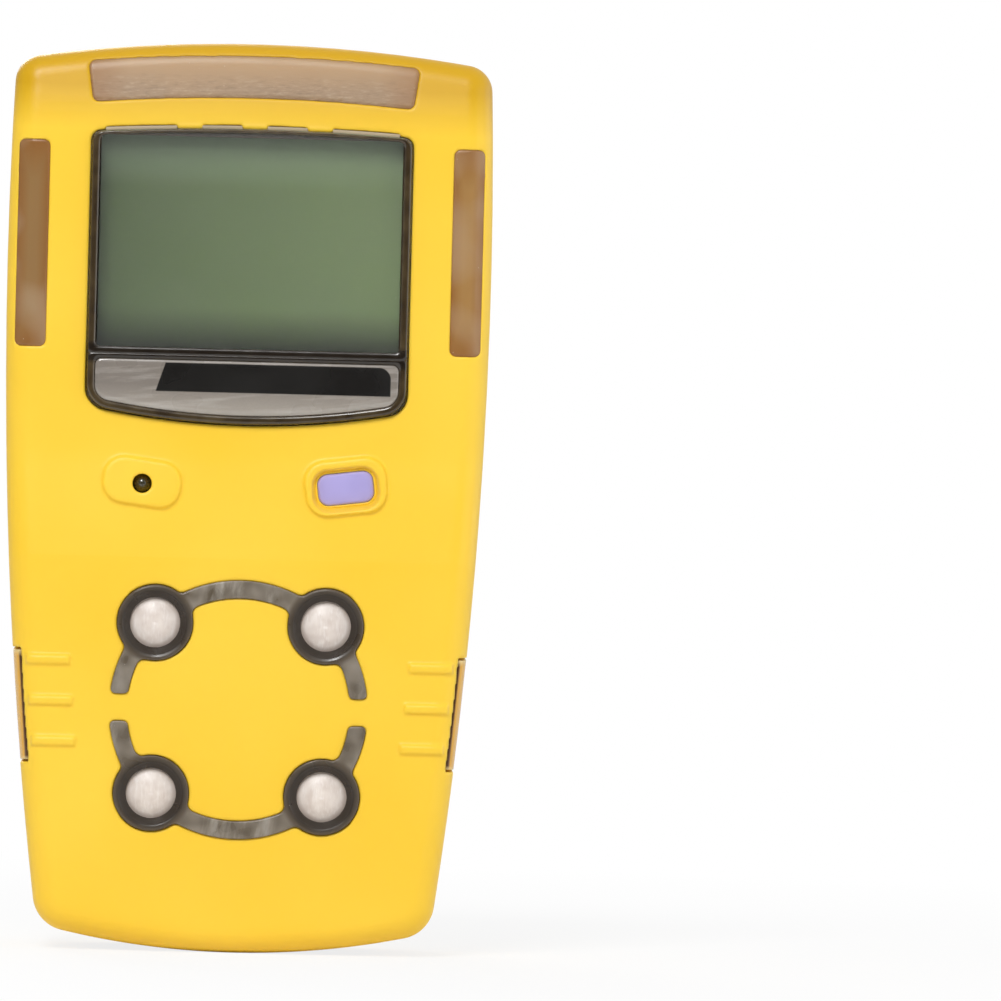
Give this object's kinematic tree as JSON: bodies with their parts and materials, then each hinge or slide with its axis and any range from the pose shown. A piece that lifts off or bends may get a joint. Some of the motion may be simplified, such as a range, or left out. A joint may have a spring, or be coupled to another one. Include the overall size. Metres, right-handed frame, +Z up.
{
  "type": "portable gas detector",
  "caption": "Hand-sized portable gas detector: yellow soft-skinned case with display, button, light bars, gas openings and a sprung clip on its back.",
  "frame": {"origin": "where the lip of the clip's closed jaw meets its base plate, on the centre plane", "axes": "+Z up along the case towards its top light bar; -Y out of the display and +Y out of the back; +X to the right as the display is read"},
  "size_m": [0.0602, 0.0415, 0.113],
  "materials": {
    "yellow_skin": "soft yellow overmoulded skin, fine satin grain",
    "yellow_shell": "yellow moulded shell, satin",
    "smoked_frame": "smoked brown translucent hard plastic",
    "window_clear": "smoked clear window, hard-coated gloss",
    "label_silver": "silver and black printed panel, left bare",
    "seal_cream": "pale cream seal",
    "light_lens": "frosted translucent light bar",
    "rubber_dark": "dark grey-brown moulded rubber with a satin skin",
    "filter_white": "white porous gas filter with a faint sheen",
    "sensor_can": "pale moulded sensor body with gilt pins",
    "gilt_contact": "gilt contact",
    "carrier_grey": "dark grey moulded carrier",
    "circuit_board": "green solder mask with copper tracks and white legend dots",
    "chip_black": "black moulded packages",
    "steel_bright": "bright nickel-plated steel",
    "brass_insert": "knurled brass",
    "display_glass": "grey-green reflective display glass",
    "guide_white": "milky light guide",
    "foam_black": "black closed-cell foam",
    "lamp_clear": "surface-mounted lamp",
    "sounder_black": "black sounder can",
    "membrane_dark": "dark glossy membrane",
    "violet_button": "pale violet button, satin",
    "motor_steel": "drawn steel can",
    "weight_grey": "sintered heavy-metal weight",
    "cell_wrap": "silver laminate pouch with an amber tape edge",
    "lead_red": "insulated lead",
    "plug_white": "cream moulded plug",
    "port_black": "black moulded port",
    "signal_red": "dark red infrared window",
    "label_bare": "bare silver-grey rear label",
    "clip_steel": "nickel-plated spring steel"
  },
  "bodies": {
    "root": {"front_cover": "yellow_skin", "front_frame": "smoked_frame", "back_shell": "yellow_shell", "display_window": "window_clear", "label_plate": "label_silver", "window_seal": "seal_cream", "alarm_lens_top": "light_lens", "alarm_lens_left": "light_lens", "alarm_lens_right": "light_lens", "sensor_gasket_upper": "rubber_dark", "sensor_gasket_lower": "rubber_dark", "gas_filter_upper_left": "filter_white", "gas_filter_upper_right": "filter_white", "gas_filter_lower_left": "filter_white", "gas_filter_lower_right": "filter_white", "oxygen_sensor": "sensor_can", "combustible_sensor": "sensor_can", "carbon_monoxide_sensor": "sensor_can", "hydrogen_sulfide_sensor": "sensor_can", "sensor_carrier": "carrier_grey", "sensor_sockets": "gilt_contact", "main_board": "circuit_board", "display_board": "circuit_board", "board_spacers": "steel_bright", "board_screws": "steel_bright", "board_chips": "chip_black", "board_connector": "port_black", "display_foam": "foam_black", "display_glass": "display_glass", "light_guide": "guide_white", "contact_strip": "rubber_dark", "display_holder": "carrier_grey", "alarm_lamps": "lamp_clear", "sounder": "sounder_black", "sounder_seal": "foam_black", "sounder_membrane": "membrane_dark", "key_switch": "port_black", "vibration_motor": "motor_steel", "motor_cradle": "rubber_dark", "battery_cell": "cell_wrap", "battery_pads": "foam_black", "battery_plug": "plug_white", "battery_leads": "lead_red", "charge_port": "port_black", "charge_contacts": "gilt_contact", "infrared_window": "signal_red", "rear_label": "label_bare", "case_seal": "foam_black", "case_screws": "steel_bright", "case_inserts": "brass_insert", "clip_base": "clip_steel", "clip_pin": "steel_bright", "clip_spring": "steel_bright", "clip_screws": "steel_bright", "clip_inserts": "brass_insert"},
    "button": {"button_cap": "violet_button", "switch_plunger": "plug_white"},
    "clip_jaw": {"clip_jaw": "clip_steel"},
    "motor_rotor": {"motor_shaft": "steel_bright", "motor_weight": "weight_grey"}
  },
  "joints": [
    {"name": "button_press", "type": "slide", "parent": "root", "child": "button", "axis": [0, 1, 0], "range_m": [0, 0.0004], "stiffness_N_per_m": 1500, "springref_m": -0.0003},
    {"name": "clip_open", "type": "hinge", "parent": "root", "child": "clip_jaw", "pos_m": [0, 0.0043, 0.024], "axis": [1, 0, 0], "range_deg": [0, 25], "stiffness_Nm_per_rad": 0.08, "springref_deg": -45.84, "deforming": ["clip_spring"]},
    {"name": "motor_spin", "type": "hinge", "parent": "root", "child": "motor_rotor", "pos_m": [0, -0.0149, 0.031], "axis": [1, 0, 0], "continuous": true}
  ]
}
